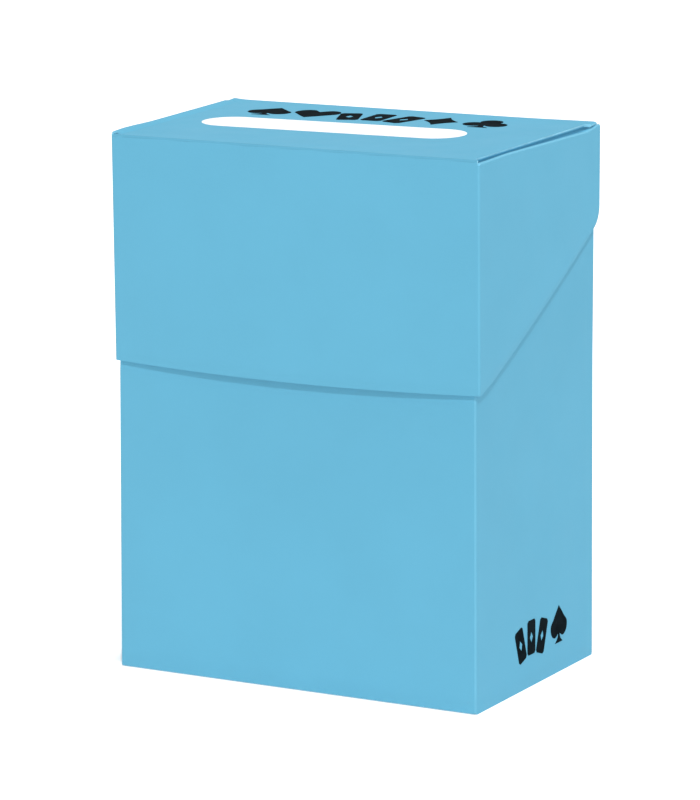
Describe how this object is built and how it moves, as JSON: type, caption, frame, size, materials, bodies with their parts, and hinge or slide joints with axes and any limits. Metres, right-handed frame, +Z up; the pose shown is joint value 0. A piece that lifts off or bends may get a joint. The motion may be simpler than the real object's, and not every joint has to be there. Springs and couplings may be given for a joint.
{
  "type": "card deck box",
  "caption": "Folded plastic flip-top box for a deck of trading cards, with a hinged lid, a white write-on area and a sliding divider.",
  "frame": {"origin": "centre of the base's underside, at the middle of the object's box", "axes": "+Z up; the front faces -Y and the lid turns about the crease at the top of the back, +Y; +X is the width, to the right seen from the front"},
  "size_m": [0.0738, 0.0484, 0.0988],
  "materials": {
    "blue_sheet": "light blue matte polypropylene sheet, finely embossed",
    "label_white": "matte white write-on film",
    "divider_white": "frosted white polypropylene sheet"
  },
  "bodies": {
    "box": {"front_panel": "blue_sheet", "back_panel": "blue_sheet", "left_side_panel": "blue_sheet", "right_side_panel": "blue_sheet", "bottom_panel": "blue_sheet", "bottom_inner_flap": "blue_sheet", "left_dust_flap": "blue_sheet", "right_dust_flap": "blue_sheet", "side_seam_flap": "blue_sheet", "hinge_crease": "blue_sheet"},
    "lid": {"lid_top_panel": "blue_sheet", "lid_front_panel": "blue_sheet", "lid_left_side_panel": "blue_sheet", "lid_right_side_panel": "blue_sheet", "lid_left_tab": "blue_sheet", "lid_right_tab": "blue_sheet", "write_on_label": "label_white"},
    "divider": {"deck_divider": "divider_white"}
  },
  "joints": [
    {"name": "lid_hinge", "type": "hinge", "parent": "box", "child": "lid", "pos_m": [0, 0.0239, 0.0983], "axis": [-1, 0, 0], "range_deg": [0, 200]},
    {"name": "divider_slide", "type": "slide", "parent": "box", "child": "divider", "axis": [0, -1, 0], "range_m": [0, 0.0445]}
  ]
}
